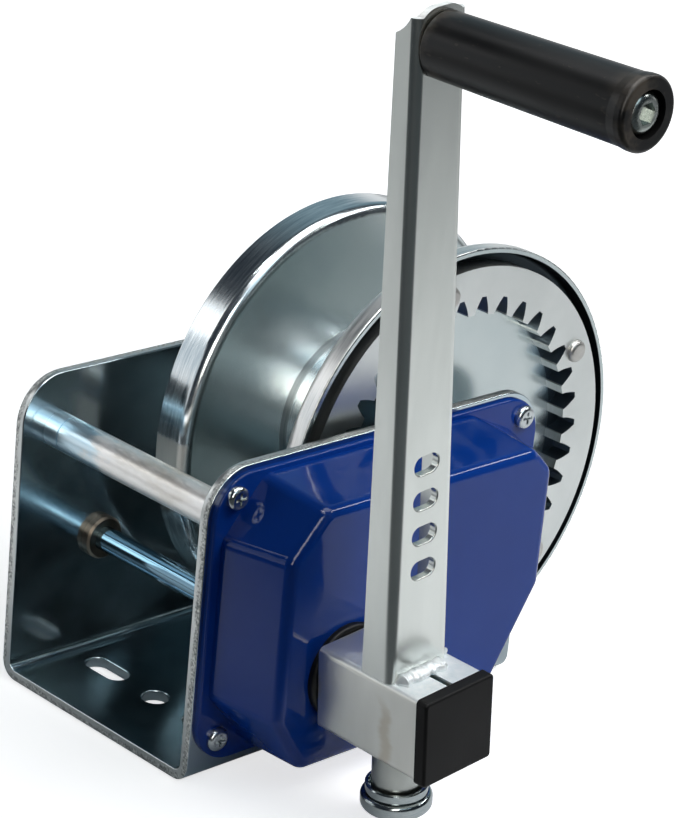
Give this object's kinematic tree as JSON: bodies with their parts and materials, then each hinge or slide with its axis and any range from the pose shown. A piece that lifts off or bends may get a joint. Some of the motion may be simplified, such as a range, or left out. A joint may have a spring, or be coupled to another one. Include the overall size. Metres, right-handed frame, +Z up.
{
  "type": "hand winch",
  "caption": "Geared hand winch: a bent sheet frame carries a flanged rope drum with an internal ring gear, turned by a cranked handle through gears under a side cover.",
  "frame": {"origin": "middle of the base's underside", "axes": "+X along the drum's axis towards the crank, +Y to the rear, +Z up"},
  "size_m": [0.3465, 0.2738, 0.3756],
  "materials": {
    "zinc_sheet": "bright zinc plating",
    "satin_zinc": "satin zinc plating",
    "zinc_fastener": "zinc plating",
    "shaft_steel": "ground steel",
    "gear_steel": "oiled steel",
    "bronze": "sintered bronze",
    "friction_lining": "pressed lining",
    "blue_paint": "gloss",
    "black_rubber": "matt",
    "black_plastic": "matt",
    "bright_plating": "bright",
    "spring_steel": "plain"
  },
  "bodies": {
    "frame": {"frame": "zinc_sheet", "spacer_tube": "zinc_sheet", "tie_rod": "zinc_fastener", "drum_axle": "zinc_fastener", "axle_nut": "zinc_fastener", "axle_washer": "zinc_fastener", "axle_spacers": "shaft_steel", "intermediate_bush": "bronze", "left_shaft_bush": "bronze", "right_shaft_bush": "bronze", "pawl_stud": "shaft_steel", "pawl_spring": "spring_steel", "gear_cover": "blue_paint", "cover_screws": "zinc_fastener", "cover_seal": "black_rubber"},
    "drum": {"drum_barrel": "zinc_sheet", "drum_flange_left": "zinc_sheet", "drum_flange_right": "zinc_sheet", "drum_tube": "shaft_steel", "drum_bushes": "bronze", "ring_gear": "satin_zinc", "gear_rivets": "zinc_fastener"},
    "intermediate": {"intermediate_shaft": "shaft_steel", "intermediate_gear": "gear_steel", "intermediate_pinion": "gear_steel", "intermediate_clip": "zinc_fastener"},
    "crank": {"drive_shaft": "shaft_steel", "crank_pinion": "gear_steel", "shaft_clip": "zinc_fastener", "brake_flange": "gear_steel", "friction_disc_inner": "friction_lining", "friction_disc_outer": "friction_lining", "pressure_hub": "gear_steel", "hub_tube": "zinc_sheet", "crank_socket": "shaft_steel", "hub_cap": "black_plastic", "crank_arm": "satin_zinc", "arm_weld": "satin_zinc", "grip_bolt": "zinc_fastener", "grip_nut": "zinc_fastener", "pin_housing": "satin_zinc", "lock_spring": "spring_steel"},
    "grip": {"grip": "black_plastic"},
    "lock_pin": {"lock_pin": "bright_plating"},
    "pawl": {"pawl": "gear_steel"},
    "ratchet": {"ratchet_wheel": "gear_steel"}
  },
  "joints": [
    {"name": "drum_spin", "type": "hinge", "parent": "frame", "child": "drum", "pos_m": [0, 0.0643, 0.1134], "axis": [1, 0, 0], "continuous": true},
    {"name": "intermediate_spin", "type": "hinge", "parent": "frame", "child": "intermediate", "pos_m": [0, 0.01775, 0.08411], "axis": [1, 0, 0], "continuous": true},
    {"name": "crank_turn", "type": "hinge", "parent": "frame", "child": "crank", "pos_m": [0, -0.0535, 0.0615], "axis": [1, 0, 0], "continuous": true},
    {"name": "grip_spin", "type": "hinge", "parent": "crank", "child": "grip", "pos_m": [0, -0.08474, 0.35988], "axis": [1, 0, 0], "continuous": true},
    {"name": "lock_pin_pull", "type": "slide", "parent": "crank", "child": "lock_pin", "axis": [0, 0.0958, -0.9954], "range_m": [0, 0.006], "stiffness_N_per_m": 500, "springref_m": -0.01},
    {"name": "pawl_swing", "type": "hinge", "parent": "frame", "child": "pawl", "pos_m": [0, -0.06149, 0.1068], "axis": [-1, 0, 0], "range_deg": [0, 15], "stiffness_Nm_per_rad": 0.02, "springref_deg": -34.38},
    {"name": "ratchet_turn", "type": "hinge", "parent": "frame", "child": "ratchet", "pos_m": [0, -0.0535, 0.0615], "axis": [1, 0, 0], "range_deg": [0, 4]}
  ],
  "couplings": [
    {"joint": "intermediate_spin", "follows": "drum_spin", "ratio": 3.5},
    {"joint": "crank_turn", "follows": "drum_spin", "ratio": -8}
  ]
}
